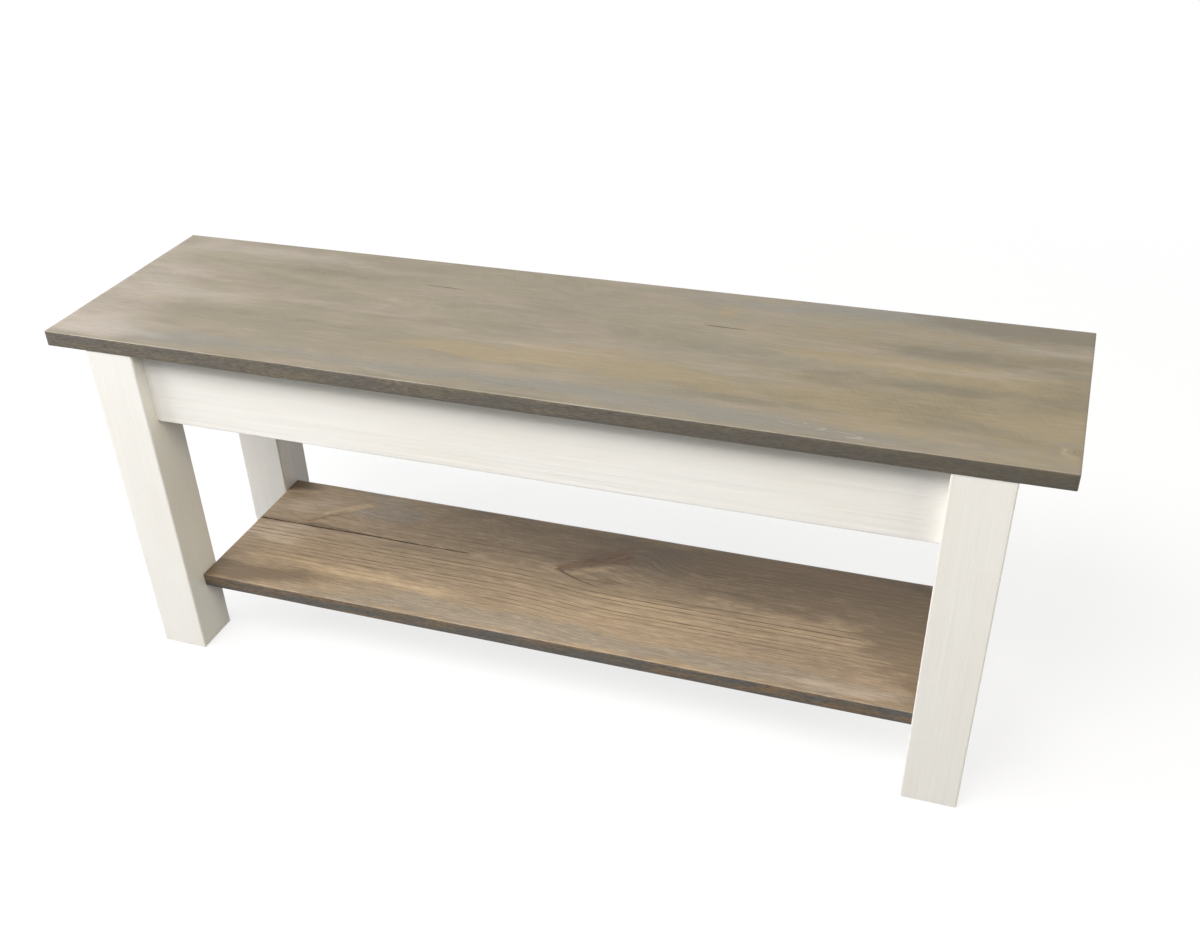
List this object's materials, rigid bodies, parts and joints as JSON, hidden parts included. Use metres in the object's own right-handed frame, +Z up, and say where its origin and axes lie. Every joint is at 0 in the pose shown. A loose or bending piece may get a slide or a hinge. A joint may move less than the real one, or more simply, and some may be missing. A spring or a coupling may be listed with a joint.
{
  "type": "bench",
  "caption": "Long wooden bench with a stained plank seat, square painted legs, aprons under the seat and a stained lower shelf for storage.",
  "frame": {"origin": "on the floor, at the middle of the bench's length and depth", "axes": "+X along the bench to its right end as seen from the front, +Y to the back, +Z up"},
  "size_m": [1.118, 0.305, 0.432],
  "materials": {
    "stained_seat": "weathered grey-brown stain under a satin coat",
    "stained_shelf": "weathered brown stain under a satin coat",
    "white_paint": "brushed white paint on pine, satin",
    "screw_steel": "zinc plated"
  },
  "bodies": {
    "root": {"seat_top": "stained_seat", "lower_shelf": "stained_shelf", "leg_front_left": "white_paint", "leg_front_right": "white_paint", "leg_rear_left": "white_paint", "leg_rear_right": "white_paint", "apron_front": "white_paint", "apron_rear": "white_paint", "apron_left": "white_paint", "apron_right": "white_paint", "apron_front_screws": "screw_steel", "apron_rear_screws": "screw_steel", "apron_left_screws": "screw_steel", "apron_right_screws": "screw_steel", "seat_screws_front": "screw_steel", "seat_screws_rear": "screw_steel", "seat_screws_left": "screw_steel", "seat_screws_right": "screw_steel", "shelf_screws_left": "screw_steel", "shelf_screws_right": "screw_steel"}
  },
  "joints": []
}
